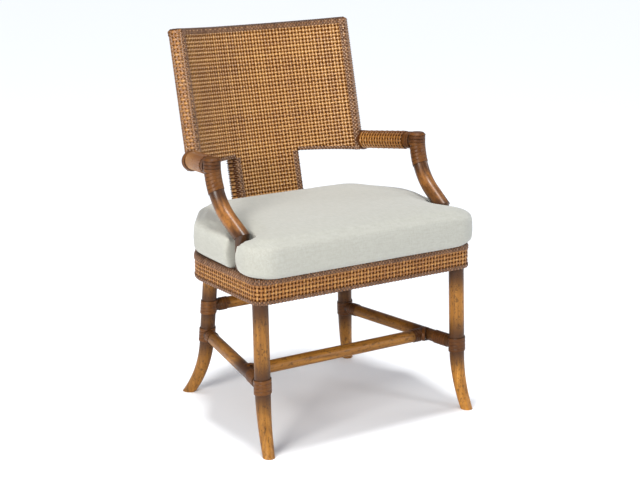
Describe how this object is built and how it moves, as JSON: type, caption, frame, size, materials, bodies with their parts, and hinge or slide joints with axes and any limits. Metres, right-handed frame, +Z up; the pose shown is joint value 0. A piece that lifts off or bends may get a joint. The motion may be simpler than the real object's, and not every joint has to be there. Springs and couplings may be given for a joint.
{
  "type": "cane armchair",
  "caption": "Cane armchair on sabre legs: raked barrel back of woven cane on a splat, wrapped arms, turned-out feet joined by stretchers, and a loose notched seat cushion.",
  "frame": {"origin": "on the floor, under the middle of the chair's bounding box", "axes": "+Z up, -Y towards the front of the seat, +X to the right seen from the front"},
  "size_m": [0.619, 0.6151, 0.9136],
  "materials": {
    "rattan_pole": "satin",
    "woven_cane": "satin",
    "leather_binding": "satin",
    "cushion_linen": "matte",
    "frame_wood": "matte",
    "dowel_wood": "matte"
  },
  "bodies": {
    "chair_frame": {"arm_mitre_dowels": "dowel_wood", "arm_post_foot_left": "rattan_pole", "arm_post_foot_right": "rattan_pole", "arm_post_left": "rattan_pole", "arm_post_right": "rattan_pole", "arm_post_windings": "leather_binding", "arm_rail_left": "rattan_pole", "arm_rail_right": "rattan_pole", "arm_rail_windings": "leather_binding", "arm_weave_left": "woven_cane", "arm_weave_right": "woven_cane", "back_lower_rail": "rattan_pole", "back_side_post_left": "rattan_pole", "back_side_post_right": "rattan_pole", "back_top_rail": "rattan_pole", "back_weave": "woven_cane", "cross_stretcher": "rattan_pole", "front_leg_left": "rattan_pole", "front_leg_right": "rattan_pole", "leg_bands": "leather_binding", "leg_dowels": "dowel_wood", "post_dowels": "dowel_wood", "rear_leg_left": "rattan_pole", "rear_leg_right": "rattan_pole", "rear_stretcher": "rattan_pole", "seat_cleats": "frame_wood", "seat_deck": "frame_wood", "seat_front_rail": "frame_wood", "seat_rear_rail": "frame_wood", "seat_side_rail_left": "frame_wood", "seat_side_rail_right": "frame_wood", "seat_weave": "woven_cane", "side_stretcher_left": "rattan_pole", "side_stretcher_right": "rattan_pole", "splat_dowels": "dowel_wood", "splat_stile_left": "rattan_pole", "splat_stile_right": "rattan_pole", "stretcher_dowels": "dowel_wood", "stretcher_windings": "leather_binding"},
    "cushion": {"seat_cushion": "cushion_linen"}
  },
  "joints": [
    {"name": "cushion_lift", "type": "slide", "parent": "chair_frame", "child": "cushion", "axis": [0, 0, 1], "range_m": [0, 0.005]}
  ]
}
